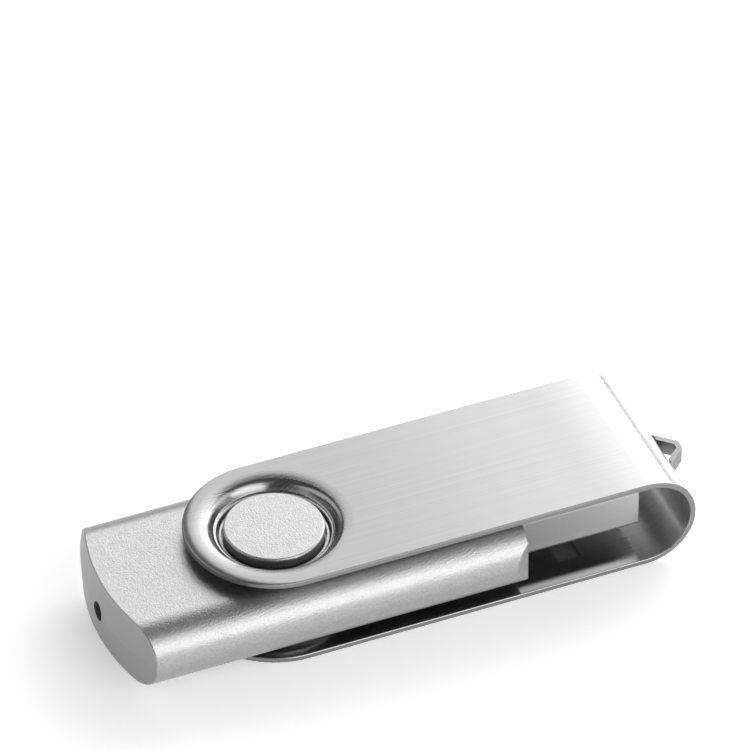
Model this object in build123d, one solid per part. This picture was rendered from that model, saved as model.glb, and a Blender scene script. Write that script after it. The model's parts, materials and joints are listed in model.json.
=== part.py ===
from build123d import *
import os
from math import cos, radians, sin, sqrt

# Frame used while building: pivot axis = Z through the origin, XY = mid-plane of the drive,
# +X = towards the plug and the bend of the clip. Everything is shifted into the row frame on export.

# ---- swivel clip ----
CLIP_W = 17.8            # width of the folded strip
CLIP_T = 10.2            # overall thickness over both legs
SHEET = 0.6              # sheet thickness
BEND_X = 40.8            # pivot to the outside of the bend
DISH_R = 7.8             # radius where the dish round the pivot starts
DISH_DROP = 1.1          # depth of the dish
DISH_EASE_R = 4.0        # outside radius of its gentle start
DISH_EASE = 15           # slope in degrees where the gentle start ends
DISH_TOP_R = 0.9         # outside radius of the tighter bend that follows
DISH_SLOPE = 57          # steepest slope in degrees
DISH_FOOT_R = 0.35       # outside radius of the bend at its foot
HOLE_R = 5.55            # pivot hole in each leg
HOLE_EDGE = 0.08         # broken edge of the hole
CLIP_EDGE = 0.14         # broken outer edge
CLIP_EDGE_IN = 0.1       # broken inner edge
LOOP_OUT = 2.3           # key loop stands out of the bend by this much
LOOP_HALF_W = 2.9        # half width of the key loop at its roots
LOOP_TIP_W = 0.55        # half width of the flat end of the key loop
LOOP_H = 1.6             # height of the lanced strip
WINDOW_W = 4.4           # width of the window left behind it
WINDOW_H = 1.8

# ---- drive body ----
BODY_W = 20.3
BODY_T = 7.1
BODY_REAR = 18.4         # pivot to the middle of the rear end
BODY_FRONT = 22.85       # pivot to the front face
REAR_R = 24.9            # plan radius of the rear end
REAR_LEAN_UP = 0.12      # rear face leans in by this much per mm of height, upper shell
REAR_LEAN_DOWN = 0.05
REAR_DEPTH = 3.2         # the curved rear end lies within this length
NOSE_X = 1.5             # corner cut at the front, along X
NOSE_Y = 0.9             # and along Y
WALL = 1.0
LIP_W = 0.45             # locating lip along the parting line
LIP_H = 0.6
LIP_GAP = 0.04
BODY_EDGE = 0.16         # rounded edge of the rear face and of the front corners
BUTTON_R = 4.95          # round button seen through the clip
BUTTON_TOP = 4.76        # above the mid-plane
BUTTON_EDGE = 0.2
COLLAR_R = 5.45          # collar that the clip turns on
COLLAR_IN_R = 5.15
COLLAR_TOP = 3.62
COLLAR_EDGE = 0.1
COLLAR_FLOOR = 2.9       # floor of the slot between the button and the collar
GROOVE_R = 7.0           # annular groove that clears the dish
GROOVE_FLOOR = 3.2
LED_HOLE_R = 1.0
RIB_T = 0.8              # ribs inside the shells
RIB_Y = (6.9, 7.9)       # board ribs, on both sides of the centre-line
BOARD_RIBS_X = (-13.0, 12.6)
PLUG_RIBS_X = (18.6, 21.2)

# ---- plug ----
PLUG_W = 12.0
PLUG_H = 4.5
PLUG_Z = -0.2            # plug sits a little below the mid-plane
PLUG_TIP = 36.0
PLUG_LEN = 18.75
PLUG_WALL = 0.3
PLUG_R = 0.5
PLUG_EDGE = 0.08         # rounded front edge of the plug shell
SEAM = 0.06              # seam under the plug where the shell closes
LATCH_X = 2.4
LATCH_Y = 2.5
LATCH_BACK = 5.16        # tip to the near edge of the latch holes
LATCH_Y0 = 2.55          # latch hole centre from the plug's centre-line
TONGUE_TOP = -0.15
TONGUE_SET = 0.7         # tongue sits back from the tip
BLOCK_FRONT = 23.8       # front of the insulator's full-height block
CONTACT_T = 0.15
CONTACT_W = 1.0
TAIL_X = 15.2
POWER_Y = (-3.5, 3.5)    # outer pair of contacts
POWER_BACK = 1.6         # their front ends, back from the tip
DATA_Y = (-1.0, 1.0)     # inner pair
DATA_BACK = 2.6
TAB_LEN = 2.2            # solder tabs at the back of the plug shell

# ---- circuit board ----
PCB_X0 = -15.6
PCB_X1 = 17.2
PCB_W = 15.0
PCB_TOP = -0.35
PCB_T = 0.8
PCB_BOTTOM = PCB_TOP - PCB_T
CHIP_X = -2.0            # memory chip centre
CHIP_L = 18.4            # memory chip along X
CHIP_W = 12.0
CONTROL_X = 3.0          # controller chip centre
CONTROL_W = 7.0
REG_X = 10.5             # voltage regulator centre
REG_Y = -3.4
LEAD_PITCH = 0.5
LEAD_HALF_W = 0.11

# The row frame has its origin on the table under the middle of the object
X_MIN = -BODY_REAR
X_MAX = BEND_X + LOOP_OUT
SHIFT = Location((-(X_MIN + X_MAX) / 2, 0, CLIP_T / 2))


def block(x0, x1, y0, y1, z0, z1):
    """Axis-aligned box from its two corners."""
    size = Box(x1 - x0, y1 - y0, z1 - z0)
    return Pos((x0 + x1) / 2, (y0 + y1) / 2, (z0 + z1) / 2) * size


def prism_y(points, y0, y1):
    """Extrude an outline drawn in XZ from y0 to y1."""
    face = make_face(Polyline(*[(x, 0, z) for x, z in points], close=True))
    return Pos(0, y0, 0) * extrude(face, amount=y1 - y0, dir=(0, 1, 0))


# ---------------------------------------------------------------- swivel clip

def clip_strip():
    """The folded strip in side view, trimmed to a round end about the pivot."""
    ro = CLIP_T / 2
    ri = ro - SHEET
    cx = BEND_X - ro
    outer = block(-CLIP_W, cx, -CLIP_W / 2, CLIP_W / 2, -ro, ro)
    outer += Pos(cx, 0, 0) * Rot(90, 0, 0) * Cylinder(ro, CLIP_W)
    inner = block(-2 * CLIP_W, cx, -CLIP_W, CLIP_W, -ri, ri)
    inner += Pos(cx, 0, 0) * Rot(90, 0, 0) * Cylinder(ri, 2 * CLIP_W)
    plan = Cylinder(CLIP_W / 2, 2 * CLIP_T)
    plan += block(0, BEND_X + 1, -CLIP_W / 2, CLIP_W / 2, -CLIP_T, CLIP_T)
    return (outer - inner) & plan


def dish_side(shift):
    """Side view of one face of the dish, as edges from the flat leg in to the foot; shift 0 is outside."""
    ease = radians(DISH_EASE)
    slope = radians(DISH_SLOPE)
    up = radians(90)
    bends = ((DISH_EASE_R, 0, ease), (DISH_TOP_R, ease, slope), (-DISH_FOOT_R, slope, 0))
    fall = sum(r * (cos(a0) - cos(a1)) for r, a0, a1 in bends)
    straight = (DISH_DROP - fall) / sin(slope)
    x, z = DISH_R, CLIP_T / 2
    edges = []
    for r, a0, a1 in bends:
        if r < 0:
            x -= straight * cos(slope)
            z -= straight * sin(slope)
            start = (x + shift * sin(slope), 0, z - shift * cos(slope))
            edges.append(Line(edges[-1] @ 1, start))
        cx = x + r * sin(a0)
        cz = z - r * cos(a0)
        reach = r - shift
        ends = [(cx + reach * cos(up + a), 0, cz + reach * sin(up + a)) for a in (a0, (a0 + a1) / 2, a1)]
        edges.append(ThreePointArc(*ends))
        x = cx + r * cos(up + a1)
        z = cz + r * sin(up + a1)
    return edges, x


def dish_ring():
    """Pressed dish round the pivot hole of the upper leg, as a ring of sheet."""
    outside, foot = dish_side(0)
    inside, foot = dish_side(SHEET)
    top = CLIP_T / 2
    low = top - DISH_DROP
    hole = Polyline((foot, 0, low), (HOLE_R + HOLE_EDGE, 0, low), (HOLE_R, 0, low - HOLE_EDGE),
                    (HOLE_R, 0, low - SHEET), (foot, 0, low - SHEET))
    wall = Line((DISH_R, 0, top - SHEET), (DISH_R, 0, top))
    return revolve(make_face(outside + inside + [hole, wall]), axis=Axis.Z)


def key_loop():
    """Strip lanced out of the bend, standing out as a small loop for a key ring."""
    x0 = BEND_X - SHEET
    tip = BEND_X + LOOP_OUT
    outer = Polyline((x0, -LOOP_HALF_W - 0.3), (tip, -LOOP_TIP_W), (tip, LOOP_TIP_W), (x0, LOOP_HALF_W + 0.3),
                     close=True)
    face = make_face(outer)
    corners = [v for v in face.vertices() if v.X > tip - 0.01]
    face = fillet(corners, 0.7)
    hollow = offset(face, -SHEET * 0.95)
    reach = block(x0 - 5, x0 + 1.0, -WINDOW_W / 2, WINDOW_W / 2, -CLIP_T, CLIP_T)
    ring = extrude(face, amount=LOOP_H / 2, both=True) - extrude(hollow, amount=CLIP_T, both=True) - reach
    return ring


def on_strip_face(edge, reach):
    """True for an edge that lies on the strip face this far from the mid-plane and the bend axis."""
    points = [edge @ t for t in (0.0, 0.3, 0.7, 1.0)]
    cx = BEND_X - CLIP_T / 2
    return all(abs(sqrt(max(p.X - cx, 0) ** 2 + p.Z ** 2) - reach) < 0.001 for p in points)


def swivel_clip():
    clip = clip_strip()
    outer = [e for e in clip.edges() if on_strip_face(e, CLIP_T / 2)]
    clip = fillet(outer, CLIP_EDGE)
    inner = [e for e in clip.edges() if on_strip_face(e, CLIP_T / 2 - SHEET)]
    clip = fillet(inner, CLIP_EDGE_IN)
    clip -= Cylinder(DISH_R, 2 * CLIP_T)
    ring = dish_ring()
    clip += ring
    clip += mirror(ring, about=Plane.XY)
    clip += key_loop()
    clip -= block(BEND_X - 2.5, BEND_X + 0.02, -WINDOW_W / 2, WINDOW_W / 2, -WINDOW_H / 2, WINDOW_H / 2)
    return clip


# ---------------------------------------------------------------- drive body shells

def body_outline(inset):
    """Plan outline of the body at the parting line, moved in by inset."""
    back = BODY_REAR + 4
    rect = Pos((BODY_FRONT - back) / 2, 0, 0) * Rectangle(BODY_FRONT + back, BODY_W)
    disc = Pos(REAR_R - BODY_REAR, 0, 0) * Circle(REAR_R)
    plan = rect & disc
    h = BODY_W / 2
    for s in (1, -1):
        cut = make_face(Polyline((BODY_FRONT - NOSE_X, s * h), (BODY_FRONT, s * (h - NOSE_Y)),
                                 (BODY_FRONT + 1, s * (h - NOSE_Y)), (BODY_FRONT + 1, s * (h + 1)),
                                 (BODY_FRONT - NOSE_X, s * (h + 1)), close=True))
        plan -= cut
    if inset == 0:
        return plan
    return offset(plan, -inset, kind=Kind.INTERSECTION)


def rounded_bar(inset):
    """Full-round section run along X, moved in by inset on every side."""
    r = BODY_T / 2 - inset
    width = BODY_W - 2 * inset
    length = BODY_FRONT + BODY_REAR + 2
    bar = block(-BODY_REAR - 1, BODY_FRONT + 1, -width / 2 + r, width / 2 - r, -r, r)
    for s in (1, -1):
        bar += Pos((BODY_FRONT - BODY_REAR) / 2, s * (width / 2 - r), 0) * Rot(0, 90, 0) * Cylinder(r, length)
    return bar


def rear_cone(inset, up):
    """Leaning rear face of one shell, as the inside of a large shallow cone."""
    lean = REAR_LEAN_UP if up else REAR_LEAN_DOWN
    r0 = REAR_R - inset
    r1 = r0 - lean * BODY_T
    cone = Pos(REAR_R - BODY_REAR, 0, BODY_T / 2) * Cone(r0, r1, BODY_T)
    if up:
        return cone
    return mirror(cone, about=Plane.XY)


def half_space(up):
    z = 2 * BODY_T
    return block(-40, 60, -30, 30, 0, z) if up else block(-40, 60, -30, 30, -z, 0)


def half_solid(inset, up):
    """Solid half of the body: rounded bar, leaning rear, cut front corners."""
    solid = rounded_bar(inset) & extrude(body_outline(inset), amount=BODY_T, both=True)
    return solid & rear_cone(inset, up) & half_space(up)


def crisp_edges(solid):
    """Outline edges of the rear face, and the edges of the two front corner cuts."""
    found = []
    for edge in solid.edges():
        points = [edge @ t for t in (0.0, 0.3, 0.7, 1.0)]
        if all(abs(p.Z) < 0.001 for p in points):
            continue
        rear = all(p.X < -BODY_REAR + REAR_DEPTH for p in points)
        front = all(p.X > BODY_FRONT - NOSE_X - 0.01 for p in points)
        if rear or front:
            found.append(edge)
    return found


def pivot_boss():
    """Button and, round it, the collar that the clip turns on."""
    button = Pos(0, 0, BUTTON_TOP / 2) * Cylinder(BUTTON_R, BUTTON_TOP)
    button = fillet(button.edges().group_by(Axis.Z)[-1], BUTTON_EDGE)
    collar = Pos(0, 0, COLLAR_TOP / 2) * Cylinder(COLLAR_R, COLLAR_TOP)
    collar = chamfer(collar.edges().group_by(Axis.Z)[-1], COLLAR_EDGE)
    slot = Pos(0, 0, COLLAR_FLOOR + 1) * (Cylinder(COLLAR_IN_R, 2) - Cylinder(BUTTON_R, 4))
    return button + collar - slot


def shell_ribs(up):
    """Ribs that hold the board, and two bars over the plug."""
    z_in = BODY_T / 2 - WALL + 0.05
    z0 = PCB_TOP if up else -z_in
    z1 = z_in if up else PCB_BOTTOM
    ribs = Part()
    for x in BOARD_RIBS_X:
        ribs += block(x, x + RIB_T, RIB_Y[0], RIB_Y[1], z0, z1)
        ribs += block(x, x + RIB_T, -RIB_Y[1], -RIB_Y[0], z0, z1)
    p = PLUG_H / 2
    z0 = PLUG_Z + p if up else -z_in
    z1 = z_in if up else PLUG_Z - p
    for x in PLUG_RIBS_X:
        ribs += block(x, x + RIB_T, -PLUG_W / 2 + 1, PLUG_W / 2 - 1, z0, z1)
    return ribs


def shell(up):
    outer = half_solid(0, up)
    outer = fillet(crisp_edges(outer), BODY_EDGE)
    side = 1 if up else -1
    outer -= Pos(0, 0, side * (GROOVE_FLOOR + 1)) * Cylinder(GROOVE_R, 2)
    outer -= Pos(0, 0, side * (COLLAR_FLOOR + 1)) * Cylinder(COLLAR_R - 0.1, 2)
    boss = pivot_boss() & half_space(True)
    outer += boss if up else mirror(boss, about=Plane.XY)
    outer -= half_solid(WALL, up)
    outer -= Pos(0, 0, side * (BUTTON_TOP - WALL) / 2) * Cylinder(BUTTON_R - WALL, BUTTON_TOP - WALL)
    outer += shell_ribs(up)
    rim = body_outline(WALL - LIP_W - (LIP_GAP if up else 0))
    if up:
        outer -= extrude(rim, amount=LIP_H + LIP_GAP)
        ribs_back = shell_ribs(True) & block(-14, 24, -8, 8, 0, LIP_H + LIP_GAP)
        outer += ribs_back
    else:
        lip = extrude(rim, amount=LIP_H) - extrude(body_outline(WALL), amount=LIP_H + 1)
        trim = half_solid(0.35, True)
        outer += lip & trim
    plug = rounded_plug(PLUG_W, PLUG_H, PLUG_R, PLUG_TIP - PLUG_LEN, PLUG_TIP)
    outer -= plug
    outer -= Pos(-BODY_REAR, 0, 0) * Rot(0, 90, 0) * Cylinder(LED_HOLE_R, 6)
    return outer


# ---------------------------------------------------------------- plug

def rounded_plug(width, height, radius, x0, x1):
    """Bar with rounded long edges, from x0 to x1."""
    face = Plane.YZ * RectangleRounded(width, height, radius)
    return Pos(x0, 0, PLUG_Z) * extrude(face, amount=x1 - x0)


def plug_shell():
    """Folded steel shell with latch holes top and bottom and two solder tabs at the back."""
    x0 = PLUG_TIP - PLUG_LEN
    tube = rounded_plug(PLUG_W, PLUG_H, PLUG_R, x0, PLUG_TIP)
    bore = rounded_plug(PLUG_W - 2 * PLUG_WALL, PLUG_H - 2 * PLUG_WALL, PLUG_R - PLUG_WALL, x0 - 1, PLUG_TIP + 1)
    mouth = [e for e in tube.edges() if e.center().X > PLUG_TIP - 0.01]
    tube = fillet(mouth, PLUG_EDGE)
    tube -= bore
    tube -= block(x0 - 1, PLUG_TIP + 1, -SEAM / 2, SEAM / 2, -PLUG_H, PLUG_Z - PLUG_H / 2 + SEAM)
    edge = PLUG_TIP - LATCH_BACK
    for s in (1, -1):
        y = s * LATCH_Y0
        tube -= block(edge - LATCH_X, edge, y - LATCH_Y / 2, y + LATCH_Y / 2, -PLUG_H, PLUG_H)
        y_out = s * PLUG_W / 2
        y_in = s * (PLUG_W / 2 - PLUG_WALL)
        tube += block(x0 - TAB_LEN, x0 + 0.5, min(y_in, y_out), max(y_in, y_out), PCB_BOTTOM - 0.3, PCB_TOP + 0.9)
    return tube


def contact(y, front):
    """One contact: flat blade on the tongue, a small step down and a tail on the board."""
    top = TONGUE_TOP
    low = PCB_TOP
    t = CONTACT_T
    x0 = PLUG_TIP - PLUG_LEN
    points = [(TAIL_X, low), (TAIL_X, low + t), (x0 - 0.5, low + t), (x0 - 0.2, top), (front, top),
              (front + 0.25, top - t), (x0, top - t), (x0 - 0.3, low)]
    return prism_y(points, y - CONTACT_W / 2, y + CONTACT_W / 2)


def power_contacts():
    return Compound(children=[contact(y, PLUG_TIP - POWER_BACK) for y in POWER_Y])


def data_contacts():
    return Compound(children=[contact(y, PLUG_TIP - DATA_BACK) for y in DATA_Y])


def plug_insulator():
    """Tongue in the lower half of the plug and the block that carries the contacts."""
    x0 = PLUG_TIP - PLUG_LEN + 0.35
    half_h = PLUG_H / 2 - PLUG_WALL
    inner = rounded_plug(PLUG_W - 2 * PLUG_WALL, 2 * half_h, PLUG_R - PLUG_WALL, x0, PLUG_TIP - TONGUE_SET)
    above = block(BLOCK_FRONT, PLUG_TIP + 1, -PLUG_W, PLUG_W, TONGUE_TOP, PLUG_H)
    body = inner - above
    nose = prism_y([(PLUG_TIP - TONGUE_SET - 0.6, TONGUE_TOP), (PLUG_TIP, TONGUE_TOP), (PLUG_TIP, TONGUE_TOP - 0.6),
                    (PLUG_TIP - TONGUE_SET, TONGUE_TOP - 0.6)], -PLUG_W, PLUG_W)
    body -= nose
    body -= power_contacts()
    body -= data_contacts()
    return body


def contact_solder():
    """Solder on each contact tail."""
    z = PCB_TOP
    t = CONTACT_T
    wedge = [(TAIL_X - 0.6, z), (TAIL_X, z + t + 0.12), (TAIL_X + 1.1, z + t + 0.12), (TAIL_X + 1.3, z + t),
             (TAIL_X, z + t), (TAIL_X, z)]
    joints = [prism_y(wedge, y - 0.6, y + 0.6) for y in POWER_Y + DATA_Y]
    return Compound(children=joints)


def tab_solder():
    """Solder round each shell tab on the top of the board."""
    x0 = PLUG_TIP - PLUG_LEN
    joints = []
    for s in (1, -1):
        y = s * (PLUG_W / 2 - PLUG_WALL / 2)
        cone = Pos((x0 - 1.1), y, PCB_TOP + 0.3) * Box(2.4, 1.4, 0.6)
        cone = chamfer(cone.edges().group_by(Axis.Z)[-1], 0.4)
        joints.append(cone - plug_shell())
    return Compound(children=[solid for joint in joints for solid in joint.solids()])


# ---------------------------------------------------------------- board and its parts

def circuit_board():
    board = block(PCB_X0, PCB_X1, -PCB_W / 2, PCB_W / 2, PCB_BOTTOM, PCB_TOP)
    board = fillet(board.edges().filter_by(Axis.Z), 0.8)
    x0 = PLUG_TIP - PLUG_LEN
    for s in (1, -1):
        y = s * (PLUG_W / 2 - PLUG_WALL / 2)
        board -= block(x0 - 2.3, PCB_X1 + 1, y - 0.2, y + 0.2, -4, 4)
    for x, y in ((12.0, 6.2), (-14.2, 5.4), (-14.2, -5.4), (13.6, 0.0)):
        board -= Pos(x, y, 0) * Cylinder(0.35, 6)
    return board


def chip_body(cx, cy, lx, ly, z0, z1, dot):
    """Moulded package with sloping sides and a pin-one dimple."""
    body = Pos(cx, cy, (z0 + z1) / 2) * Box(lx, ly, z1 - z0)
    body = chamfer(body.edges().group_by(Axis.Z)[-1] + body.edges().group_by(Axis.Z)[0], 0.12)
    face = z1 if dot > 0 else z0
    dimple = Pos(cx - lx / 2 + 1.2, cy - ly / 2 + 1.2, face) * Cylinder(0.45, 0.1)
    return body - dimple


def memory_chip():
    return chip_body(CHIP_X, 0, CHIP_L, CHIP_W, PCB_TOP + 0.08, PCB_TOP + 1.08, 1)


def gull_lead(x, z_board, z_body, side, reach, thick=0.13):
    """Outline in XZ of one gull-wing lead leaving a package edge at x."""
    foot = side * reach
    k = 1 if z_body > z_board else -1
    top = z_board + k * thick
    under = z_body - k * thick
    return [(x, z_body), (x + side * 0.22, z_body), (x + side * 0.42, top), (x + foot, top), (x + foot, z_board),
            (x + side * 0.30, z_board), (x + side * 0.12, under), (x, under)]


def memory_leads():
    """Forty-eight leads, twenty-four on each short end."""
    leads = []
    for side in (1, -1):
        x = CHIP_X + side * CHIP_L / 2
        outline = gull_lead(x, PCB_TOP, PCB_TOP + 0.62, side, 0.8)
        for i in range(24):
            y = (i - 11.5) * LEAD_PITCH
            leads.append(prism_y(outline, y - LEAD_HALF_W, y + LEAD_HALF_W))
    return Compound(children=leads)


def controller_chip():
    return chip_body(CONTROL_X, 0, CONTROL_W, CONTROL_W, PCB_BOTTOM - 1.05, PCB_BOTTOM - 0.05, -1)


def controller_leads():
    """Forty-eight leads, twelve on each side, under the board."""
    leads = []
    outline = gull_lead(CONTROL_W / 2, PCB_BOTTOM, PCB_BOTTOM - 0.6, 1, 1.0)
    for i in range(12):
        y = (i - 5.5) * LEAD_PITCH
        lead = prism_y(outline, y - LEAD_HALF_W, y + LEAD_HALF_W)
        for turn in (0, 90, 180, 270):
            leads.append(Pos(CONTROL_X, 0, 0) * Rot(0, 0, turn) * lead)
    return Compound(children=leads)


def crystal_base():
    return block(10.0, 13.2, 2.2, 4.7, PCB_TOP, PCB_TOP + 0.35)


def crystal_lid():
    lid = block(10.15, 13.05, 2.35, 4.55, PCB_TOP + 0.35, PCB_TOP + 0.75)
    return chamfer(lid.edges().group_by(Axis.Z)[-1], 0.08)


def led_base():
    return block(-15.2, -14.4, -0.8, 0.8, PCB_TOP, PCB_TOP + 0.3)


def led_lens():
    lens = block(-15.1, -14.5, -0.5, 0.5, PCB_TOP + 0.3, PCB_TOP + 0.75)
    return chamfer(lens.edges().group_by(Axis.Z)[-1], 0.1)


def voltage_regulator():
    return chip_body(REG_X, REG_Y, 1.6, 2.9, PCB_BOTTOM - 1.1, PCB_BOTTOM - 0.1, -1)


def regulator_leads():
    """Three leads on one side, two on the other."""
    leads = []
    for side, rows in ((1, (-0.95, 0.0, 0.95)), (-1, (-0.95, 0.95))):
        outline = gull_lead(REG_X + side * 0.8, PCB_BOTTOM, PCB_BOTTOM - 0.6, side, 0.6)
        for y in rows:
            leads.append(prism_y(outline, REG_Y + y - 0.2, REG_Y + y + 0.2))
    return Compound(children=leads)


# centre x, centre y, on top of the board?
CAPACITORS = ((10.2, -4.6, True), (12.6, -4.6, True), (10.2, 0.2, True), (-6.0, 4.8, False), (-6.0, -4.8, False),
              (8.6, 4.6, False), (-1.5, 5.6, False))
RESISTORS = ((10.4, -2.0, True), (12.4, -2.0, True), (-14.6, 2.6, True), (-6.0, 1.6, False), (-6.0, -1.6, False),
             (12.8, 2.2, False))


def two_ended(cx, cy, top, long, wide, high, end):
    """Body and end caps of one two-terminal part lying along Y."""
    z0 = PCB_TOP if top else PCB_BOTTOM - high
    z1 = z0 + high
    half = long / 2
    body = block(cx - wide / 2, cx + wide / 2, cy - half + end, cy + half - end, z0, z1)
    caps = [block(cx - wide / 2, cx + wide / 2, cy - half, cy - half + end, z0, z1),
            block(cx - wide / 2, cx + wide / 2, cy + half - end, cy + half, z0, z1)]
    return body, caps


def capacitor_bodies():
    return Compound(children=[two_ended(x, y, top, 1.6, 0.8, 0.75, 0.35)[0] for x, y, top in CAPACITORS])


def capacitor_ends():
    return Compound(children=[c for x, y, top in CAPACITORS for c in two_ended(x, y, top, 1.6, 0.8, 0.75, 0.35)[1]])


def resistor_bodies():
    return Compound(children=[two_ended(x, y, top, 1.6, 0.8, 0.45, 0.3)[0] for x, y, top in RESISTORS])


def resistor_ends():
    return Compound(children=[c for x, y, top in RESISTORS for c in two_ended(x, y, top, 1.6, 0.8, 0.45, 0.3)[1]])


def ferrite_bead():
    bead = block(13.4, 14.6, 3.6, 5.6, PCB_BOTTOM - 0.9, PCB_BOTTOM)
    return chamfer(bead.edges().group_by(Axis.Z)[0], 0.1)


PIECES = {
    "swivel_clip": swivel_clip,
    "upper_shell": lambda: shell(True),
    "lower_shell": lambda: shell(False),
    "plug_shell": plug_shell,
    "plug_insulator": plug_insulator,
    "power_contacts": power_contacts,
    "data_contacts": data_contacts,
    "contact_solder": contact_solder,
    "tab_solder": tab_solder,
    "circuit_board": circuit_board,
    "memory_chip": memory_chip,
    "memory_leads": memory_leads,
    "controller_chip": controller_chip,
    "controller_leads": controller_leads,
    "crystal_base": crystal_base,
    "crystal_lid": crystal_lid,
    "led_base": led_base,
    "led_lens": led_lens,
    "voltage_regulator": voltage_regulator,
    "regulator_leads": regulator_leads,
    "capacitor_bodies": capacitor_bodies,
    "capacitor_ends": capacitor_ends,
    "resistor_bodies": resistor_bodies,
    "resistor_ends": resistor_ends,
    "ferrite_bead": ferrite_bead,
}

os.makedirs("parts", exist_ok=True)
for name, make in PIECES.items():
    moved = [SHIFT * solid for solid in make().solids()]
    export_step(moved[0] if len(moved) == 1 else Compound(moved), f"parts/{name}.step")
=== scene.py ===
import json
import math

import bpy
from mathutils import Matrix, Vector


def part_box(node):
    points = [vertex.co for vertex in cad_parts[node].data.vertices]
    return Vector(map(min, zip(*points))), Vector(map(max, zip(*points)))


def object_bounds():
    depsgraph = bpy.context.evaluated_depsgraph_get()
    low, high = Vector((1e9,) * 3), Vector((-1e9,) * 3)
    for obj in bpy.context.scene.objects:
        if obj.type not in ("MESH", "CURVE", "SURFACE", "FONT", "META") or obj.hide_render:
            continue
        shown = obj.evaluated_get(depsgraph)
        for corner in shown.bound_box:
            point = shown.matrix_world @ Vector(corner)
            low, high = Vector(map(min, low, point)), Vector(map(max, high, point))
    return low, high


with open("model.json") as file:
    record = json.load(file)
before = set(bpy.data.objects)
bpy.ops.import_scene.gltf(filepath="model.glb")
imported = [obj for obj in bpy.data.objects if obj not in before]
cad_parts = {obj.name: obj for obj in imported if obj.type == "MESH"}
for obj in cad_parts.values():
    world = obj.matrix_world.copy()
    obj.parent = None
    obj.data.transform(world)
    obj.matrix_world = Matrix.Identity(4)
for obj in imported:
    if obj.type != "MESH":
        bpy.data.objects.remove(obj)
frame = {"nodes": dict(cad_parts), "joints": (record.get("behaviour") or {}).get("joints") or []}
cad_lo, cad_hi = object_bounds()

MM = 0.001
IMAGE_SIDE = 750
SENSOR = 36.0

# The six camera values come from a separate program that fitted a camera to the outlines in the photo.
CAMERA_AZIMUTH = 22.59
CAMERA_ELEVATION = 40.46
CAMERA_ROLL = -0.02
IMAGE_PER_METRE = 10318.0
PIVOT_RIGHT = -9.75 * MM         # pivot from the middle of the picture
PIVOT_UP = -18.17 * MM
CAMERA_AWAY = 0.8

LAMP_AWAY = 1.2
SKY = 0.10
FLOOR_SIDE = 6.0
FLOOR_DROP = 0.02 * MM           # keeps the floor from lying in the clip's lower face
FLOOR_GREY = 0.93
FLOOR_GLOW = 0.32

ROLL_R = 1.9 * MM                # radius of the roll-over that the bump stands for
ROLL_CENTRE = 1.0 * MM           # its centre, from the pivot towards the bend
DISH_AROUND = 7.9 * MM           # faces nearer the pivot than this belong to the dish
LOOP_PAST = 0.4 * MM             # faces further out of the bend than this belong to the key loop
REAR_DEPTH = 3.4 * MM            # the rear face lies within this length of the end
OUTSIDE, INSIDE, CUT, RIM = range(4)

# ---------------------------------------------------------------- places read from the frame

clip_lo, clip_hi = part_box("swivel_clip")
joint = next(j for j in frame["joints"] if j["name"] == "clip_swivel")
PIVOT = Vector(joint["pos_m"])
MID_Z = (clip_lo.z + clip_hi.z) / 2
BEND_R = (clip_hi.z - clip_lo.z) / 2
LOOP_STANDS_OUT = 2.3 * MM
BEND_X = clip_hi.x - LOOP_STANDS_OUT - BEND_R


# ---------------------------------------------------------------- camera

def make_camera():
    """Long lens, 40 degrees above the table, from the left of the near side."""
    azimuth = math.radians(CAMERA_AZIMUTH)
    elevation = math.radians(CAMERA_ELEVATION)
    roll = math.radians(CAMERA_ROLL)
    forward = Vector((math.sin(azimuth) * math.cos(elevation), math.cos(azimuth) * math.cos(elevation),
                      -math.sin(elevation)))
    level = Vector((math.cos(azimuth), -math.sin(azimuth), 0.0))
    upright = level.cross(forward)
    right = math.cos(roll) * level + math.sin(roll) * upright
    up = -math.sin(roll) * level + math.cos(roll) * upright
    data = bpy.data.cameras.new("camera")
    data.sensor_width = SENSOR
    data.lens = IMAGE_PER_METRE * CAMERA_AWAY * SENSOR / IMAGE_SIDE
    data.clip_start = 0.05
    data.clip_end = 20.0
    camera = bpy.data.objects.new("camera", data)
    axes = Matrix((right, up, -forward)).transposed()
    target = Vector((PIVOT.x, PIVOT.y, MID_Z))
    place = target - right * PIVOT_RIGHT - up * PIVOT_UP - forward * CAMERA_AWAY
    camera.matrix_world = Matrix.Translation(place) @ axes.to_4x4()
    bpy.context.scene.collection.objects.link(camera)
    bpy.context.scene.camera = camera


# ---------------------------------------------------------------- studio

def softbox(name, azimuth, elevation, brightness):
    """Rectangular lamp that fills the given spans of azimuth (from +X) and elevation, in degrees."""
    a = math.radians(sum(azimuth) / 2)
    e = math.radians(sum(elevation) / 2)
    toward = Vector((math.cos(a) * math.cos(e), math.sin(a) * math.cos(e), math.sin(e)))
    data = bpy.data.lights.new(name, "AREA")
    data.shape = "RECTANGLE"
    data.size = 2 * LAMP_AWAY * math.tan(math.radians(azimuth[1] - azimuth[0]) / 2) * math.cos(e)
    data.size_y = 2 * LAMP_AWAY * math.tan(math.radians(elevation[1] - elevation[0]) / 2)
    data.energy = 4 * brightness * data.size * data.size_y
    lamp = bpy.data.objects.new(name, data)
    lamp.location = toward * LAMP_AWAY
    lamp.rotation_euler = toward.to_track_quat("Z", "Y").to_euler()
    lamp.visible_camera = False
    bpy.context.scene.collection.objects.link(lamp)


def floor_pool():
    """Narrow lamp straight above the table past the far end of the clip, so the table is brightest there."""
    data = bpy.data.lights.new("pool", "AREA")
    data.shape = "DISK"
    data.size = 0.10
    data.spread = math.radians(20)
    data.energy = 0.07
    lamp = bpy.data.objects.new("pool", data)
    lamp.location = (clip_hi.x + 0.045, clip_hi.y + 0.060, 0.2)
    lamp.visible_camera = False
    bpy.context.scene.collection.objects.link(lamp)


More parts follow.
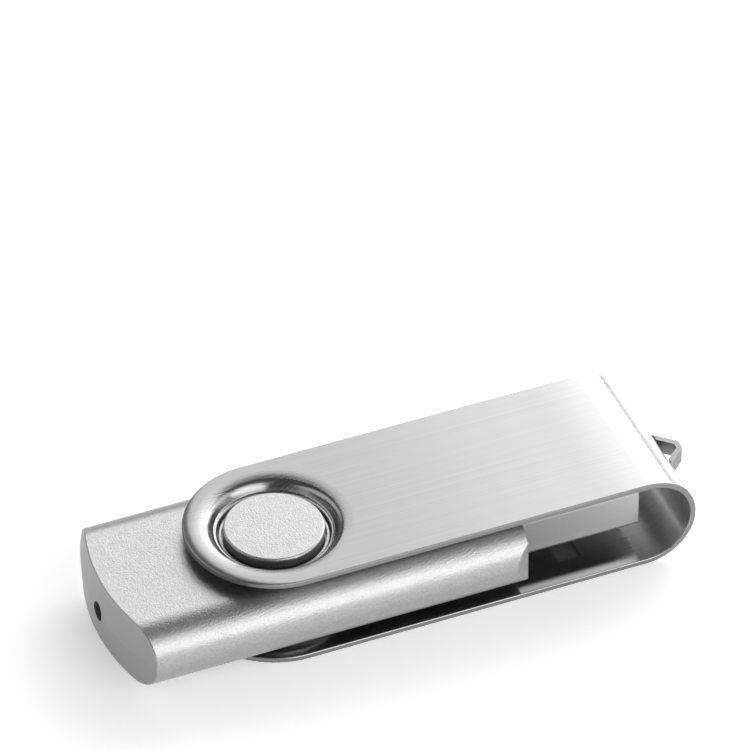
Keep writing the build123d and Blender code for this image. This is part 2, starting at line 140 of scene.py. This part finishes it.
def studio():
    """Softboxes low on the right and on the near side, a dim even sky, and a pale light table.

    The lamps started from a least-squares fit to the photo's brightness and were then changed.
    "left" does little in the photo's view and keeps the flat tops from going black in the others.
    """
    softbox("key", (5, 62), (10, 38), 3.2)
    softbox("key_top", (20, 62), (38, 52), 2.8)
    softbox("key_side", (-30, 5), (8, 50), 1.1)
    softbox("back", (62, 88), (25, 54), 1.75)
    softbox("back_left", (88, 104), (25, 50), 0.4)
    softbox("left", (112, 205), (20, 50), 0.75)
    softbox("front", (262, 322), (8, 35), 2.5)
    softbox("front_top", (265, 320), (35, 55), 1.5)
    floor_pool()
    world = bpy.data.worlds.new("studio")
    bpy.context.scene.world = world
    world.use_nodes = True
    sky = world.node_tree.nodes["Background"]
    sky.inputs["Color"].default_value = (1.0, 1.0, 1.0, 1.0)
    sky.inputs["Strength"].default_value = SKY

    bpy.ops.mesh.primitive_plane_add(size=FLOOR_SIDE, location=(0, 0, -FLOOR_DROP))
    floor = bpy.context.object
    floor.name = "floor"
    paper = bpy.data.materials.new("paper")
    paper.use_nodes = True
    shader = paper.node_tree.nodes["Principled BSDF"]
    shader.inputs["Base Color"].default_value = (FLOOR_GREY, FLOOR_GREY, FLOOR_GREY, 1)
    shader.inputs["Roughness"].default_value = 1.0
    shader.inputs["Specular IOR Level"].default_value = 0.0
    shader.inputs["Emission Color"].default_value = (1, 1, 1, 1)
    shader.inputs["Emission Strength"].default_value = FLOOR_GLOW
    floor.data.materials.append(paper)
    bpy.context.scene.view_settings.view_transform = "Standard"


# ---------------------------------------------------------------- material helpers

class Nodes:
    """A material's node tree with short ways to add nodes."""

    def __init__(self, name):
        self.material = bpy.data.materials.new(name)
        self.material.use_nodes = True
        self.tree = self.material.node_tree
        self.shader = self.tree.nodes["Principled BSDF"]
        self.place = self.tree.nodes.new("ShaderNodeTexCoord").outputs

    def link(self, value, socket):
        if isinstance(value, bpy.types.NodeSocket):
            self.tree.links.new(value, socket)
        else:
            socket.default_value = value

    def math(self, operation, a, b=0.0):
        node = self.tree.nodes.new("ShaderNodeMath")
        node.operation = operation
        for value, socket in zip((a, b), node.inputs):
            self.link(value, socket)
        return node.outputs[0]

    def length(self, a, b):
        return self.math("SQRT", self.math("ADD", self.math("MULTIPLY", a, a), self.math("MULTIPLY", b, b)))

    def split(self, vector):
        node = self.tree.nodes.new("ShaderNodeSeparateXYZ")
        self.link(vector, node.inputs[0])
        return node.outputs

    def scaled(self, scale, offset=(0, 0, 0)):
        node = self.tree.nodes.new("ShaderNodeMapping")
        self.link(self.place["Object"], node.inputs["Vector"])
        node.inputs["Scale"].default_value = scale
        node.inputs["Location"].default_value = offset
        return node.outputs[0]

    def noise(self, scale, detail=2.0, rough=0.5, offset=(0, 0, 0)):
        node = self.tree.nodes.new("ShaderNodeTexNoise")
        self.link(self.scaled(scale, offset), node.inputs["Vector"])
        node.inputs["Scale"].default_value = 1.0
        node.inputs["Detail"].default_value = detail
        node.inputs["Roughness"].default_value = rough
        return node.outputs["Fac"]

    def remap(self, value, low, high, to_low, to_high, smooth=False):
        node = self.tree.nodes.new("ShaderNodeMapRange")
        if smooth:
            node.interpolation_type = "SMOOTHSTEP"
        for given, socket in zip((value, low, high, to_low, to_high), node.inputs):
            self.link(given, socket)
        return node.outputs["Result"]

    def mix(self, share, a, b):
        node = self.tree.nodes.new("ShaderNodeMix")
        node.data_type = "RGBA"
        self.link(share, node.inputs["Factor"])
        self.link(a, node.inputs[6])
        self.link(b, node.inputs[7])
        return node.outputs[2]

    def grey(self, value):
        node = self.tree.nodes.new("ShaderNodeCombineColor")
        for socket in node.inputs:
            self.link(value, socket)
        return node.outputs[0]

    def bump(self, height, distance, strength=1.0):
        node = self.tree.nodes.new("ShaderNodeBump")
        node.inputs["Strength"].default_value = strength
        node.inputs["Distance"].default_value = distance
        self.link(height, node.inputs["Height"])
        self.tree.links.new(node.outputs[0], self.shader.inputs["Normal"])

    def set(self, **values):
        for name, value in values.items():
            self.link(value, self.shader.inputs[name.replace("_", " ")])


def end_roll(m):
    """Bump height of the soft roll-over along the round end, in metres; the mesh itself is flat there."""
    x, y, z = m.split(m.place["Object"])
    dx = m.math("SUBTRACT", x, PIVOT.x + ROLL_CENTRE)
    half_width = (clip_hi.y - clip_lo.y) / 2
    out = m.math("SUBTRACT", m.length(dx, y), half_width)
    left = m.math("LESS_THAN", dx, 0.0)
    out = m.math("MULTIPLY", m.math("MAXIMUM", out, 0.0), left)
    return m.math("DIVIDE", m.math("MULTIPLY", out, out), -2 * ROLL_R)


def clip_outside():
    """Brushed face: fine lines that run along the strip and follow its bend.

    The lighter leg and bend and the darker, glossier dish imitate the light in the photo by position on the
    clip. They are not wear or colour of the metal.
    """
    m = Nodes("clip_brushed")
    x, y, z = m.split(m.place["Object"])
    fine = m.noise((45, 15000, 45), 2.0, 0.5)
    broad = m.noise((30, 2600, 30), 2.0, 0.5, (3, 5, 7))
    streak = m.math("ADD", m.math("MULTIPLY", fine, 0.75), m.math("MULTIPLY", broad, 0.25))
    leg_lift = m.remap(x, BEND_X - 30 * MM, BEND_X - 4 * MM, 0.0, 0.08, True)
    painted_bend_highlight = m.remap(x, BEND_X - 5 * MM, BEND_X + 1 * MM, 0.0, 0.12, True)
    shade = m.math("ADD", m.math("ADD", m.remap(streak, 0.3, 0.7, 0.34, 0.43), leg_lift), painted_bend_highlight)
    smooth = m.remap(x, BEND_X, BEND_X + 2 * MM, 0.0, -0.12, True)
    dx = m.math("SUBTRACT", x, PIVOT.x)
    in_dish = m.remap(m.length(dx, y), 6.6 * MM, 8.2 * MM, 0.11, 0.0, True)
    rough = m.math("SUBTRACT", m.math("ADD", m.remap(streak, 0.3, 0.7, 0.32, 0.40), smooth), in_dish)
    shade = m.math("SUBTRACT", shade, m.math("MULTIPLY", in_dish, 0.6))
    m.set(Base_Color=m.grey(shade), Metallic=1.0, Roughness=rough, Anisotropic=0.7)
    tangent = m.tree.nodes.new("ShaderNodeCombineXYZ")
    tangent.inputs[1].default_value = 1.0
    m.tree.links.new(tangent.outputs[0], m.shader.inputs["Tangent"])
    height = m.math("ADD", m.math("MULTIPLY", streak, 0.0006 * MM), end_roll(m))
    m.bump(height, 1.0, 1.0)
    return m.material


def clip_inside():
    """Inner face of the fold: mirror-like along the legs, softer round the bend, with a painted highlight
    there.
    """
    m = Nodes("clip_polished")
    x, y, z = m.split(m.place["Object"])
    haze = m.noise((60, 2500, 60), 2.0, 0.5)
    soft = m.remap(x, BEND_X - 4 * MM, BEND_X + 1 * MM, 0.0, 0.20, True)
    # painted highlight: base colour set lighter round the inner bend
    painted_bend_highlight = m.remap(x, BEND_X, BEND_X + 2 * MM, 0.0, 0.22, True)
    m.set(Base_Color=m.grey(m.math("ADD", m.remap(haze, 0.3, 0.7, 0.44, 0.52), painted_bend_highlight)), Metallic=1.0,
          Roughness=m.math("ADD", m.remap(haze, 0.3, 0.7, 0.11, 0.14), soft))
    return m.material


def clip_cut():
    """Cut and rounded edges of the sheet and the key loop, fine-textured and duller."""
    m = Nodes("clip_cut_edge")
    grain = m.noise((9000, 9000, 9000), 3.0, 0.6)
    m.set(Base_Color=m.grey(m.remap(grain, 0.3, 0.7, 0.22, 0.30)), Metallic=1.0,
          Roughness=m.remap(grain, 0.3, 0.7, 0.34, 0.46))
    m.bump(grain, 0.006 * MM, 0.5)
    return m.material


def clip_rim():
    """Rounded inner edges of the lower leg, smoother and brighter than the cut edge."""
    m = Nodes("clip_rim")
    grain = m.noise((4000, 9000, 9000), 2.0, 0.5)
    m.set(Base_Color=m.grey(m.remap(grain, 0.3, 0.7, 0.38, 0.46)), Metallic=1.0,
          Roughness=m.remap(grain, 0.3, 0.7, 0.18, 0.26))
    return m.material


def dress_clip(clip):
    """Give each face of the clip the look of its side: outside, inside, cut edge or lower inner rim."""
    mesh = clip.data
    mesh.materials.clear()
    for material in (clip_outside(), clip_inside(), clip_cut(), clip_rim()):
        mesh.materials.append(material)
    for face in mesh.polygons:
        past = max(face.center.x - BEND_X, 0.0)
        high = face.center.z - MID_Z
        reach = math.hypot(past, high)
        facing = (past * face.normal.x + high * face.normal.z) / reach
        from_pivot = math.hypot(face.center.x - PIVOT.x, face.center.y)
        in_dish = from_pivot < DISH_AROUND
        if past > clip_hi.z / 2 + LOOP_PAST:
            face.material_index = CUT
        elif facing > 0.25 and (in_dish or facing > 0.97):
            face.material_index = OUTSIDE
        elif facing < -0.25 and (in_dish or facing < -0.97):
            face.material_index = INSIDE
        elif facing < -0.12 and high < 0 and not in_dish:
            face.material_index = RIM
        else:
            face.material_index = CUT


def silver_shell():
    """Fine-grained satin silver of the two body shells."""
    m = Nodes("shell_silver")
    grain = m.noise((5600, 5600, 5600), 2.0, 0.6)
    cloud = m.noise((900, 900, 900), 2.0, 0.5, (1, 2, 3))
    mixed = m.math("ADD", m.math("MULTIPLY", grain, 0.85), m.math("MULTIPLY", cloud, 0.15))
    m.set(Base_Color=m.grey(m.remap(mixed, 0.3, 0.7, 0.36, 0.50)), Metallic=1.0,
          Roughness=m.remap(grain, 0.3, 0.7, 0.34, 0.42))
    m.bump(grain, 0.036 * MM, 1.0)
    return m.material


def rear_silver_painted_shade():
    """Smoother silver of the rear face, with its base colour set darker as painted shade."""
    m = Nodes("shell_rear_painted_shade")
    grain = m.noise((9000, 9000, 9000), 2.0, 0.5)
    # painted shade: base colour darker than the grained shell silver
    m.set(Base_Color=m.grey(m.remap(grain, 0.3, 0.7, 0.31, 0.34)), Metallic=1.0,
          Roughness=m.remap(grain, 0.3, 0.7, 0.40, 0.46))
    m.bump(grain, 0.004 * MM, 0.4)
    return m.material


def dress_shells(shells):
    """Grained silver all over, smooth silver with painted shade on the rear face."""
    grained = silver_shell()
    rear = rear_silver_painted_shade()
    for shell in shells:
        mesh = shell.data
        mesh.materials.clear()
        mesh.materials.append(grained)
        mesh.materials.append(rear)
        for face in mesh.polygons:
            at_end = face.center.x < cad_lo.x + REAR_DEPTH
            faces_back = face.normal.x < -0.7 and abs(face.normal.z) < 0.2
            face.material_index = 1 if at_end and faces_back else 0


def plug_steel():
    """Nickel of the plug; lighter towards the tip and on the long corners, to imitate the photo's light."""
    m = Nodes("plug_nickel")
    grain = m.noise((5000, 9000, 9000), 3.0, 0.6)
    tilt = m.math("ABSOLUTE", m.split(m.place["Normal"])[2])
    rising = m.remap(tilt, 0.2, 0.5, 0.0, 1.0, True)
    falling = m.remap(tilt, 0.85, 0.98, 1.0, 0.0, True)
    corner_lift = m.math("MULTIPLY", m.math("MULTIPLY", rising, falling), 0.35)
    x = m.split(m.place["Object"])[0]
    along = m.remap(x, clip_hi.x - 22 * MM, clip_hi.x - 7 * MM, 0.27, 0.50)
    base = m.math("ADD", m.math("ADD", along, m.remap(grain, 0.3, 0.7, -0.03, 0.03)), corner_lift)
    m.set(Base_Color=m.grey(base), Metallic=1.0, Roughness=m.remap(grain, 0.3, 0.7, 0.28, 0.36))
    m.bump(grain, 0.004 * MM, 0.4)
    return m.material


def plain(name, colour, metallic, rough, grain=6000.0, spread=0.08, bump=0.004):
    """Grained material for the small inner pieces."""
    m = Nodes(name)
    noise = m.noise((grain, grain, grain), 2.0)
    dark = tuple(c * (1 - spread) for c in colour) + (1,)
    light = tuple(min(1.0, c * (1 + spread)) for c in colour) + (1,)
    m.set(Base_Color=m.mix(m.remap(noise, 0.3, 0.7, 0.0, 1.0), dark, light), Metallic=metallic,
          Roughness=m.remap(noise, 0.3, 0.7, rough - 0.05, rough + 0.05))
    m.bump(noise, bump * MM, 0.4)
    return m.material


def dress():
    """Give every piece its look."""
    tin = plain("lead_tin", (0.62, 0.62, 0.63), 1.0, 0.32)
    package = plain("package_black", (0.022, 0.022, 0.023), 0.0, 0.6)
    gold = plain("contact_gold", (0.80, 0.55, 0.20), 1.0, 0.25)
    solder = plain("solder_bright", (0.66, 0.66, 0.68), 1.0, 0.22)
    white = plain("ceramic_white", (0.78, 0.77, 0.73), 0.0, 0.5)
    looks = {
        "plug_shell": plug_steel(),
        "plug_insulator": plain("insulator_white", (0.62, 0.62, 0.60), 0.0, 0.42),
        "power_contacts": gold, "data_contacts": gold, "contact_solder": solder, "tab_solder": solder,
        "circuit_board": plain("board_green", (0.02, 0.16, 0.06), 0.0, 0.35),
        "memory_chip": package, "controller_chip": package,
        "voltage_regulator": package, "resistor_bodies": package,
        "memory_leads": tin, "controller_leads": tin, "regulator_leads": tin, "capacitor_ends": tin,
        "resistor_ends": tin, "crystal_lid": tin, "crystal_base": white, "led_base": white,
        "capacitor_bodies": plain("ceramic_tan", (0.42, 0.29, 0.17), 0.0, 0.5),
        "led_lens": plain("lamp_resin", (0.75, 0.80, 0.85), 0.0, 0.15),
        "ferrite_bead": plain("ferrite", (0.06, 0.06, 0.065), 0.0, 0.55),
    }
    for name, material in looks.items():
        node = frame["nodes"][name]
        node.material_slots[0].material = material
    dress_clip(frame["nodes"]["swivel_clip"])
    dress_shells([frame["nodes"]["upper_shell"], frame["nodes"]["lower_shell"]])


make_camera()
studio()
dress()
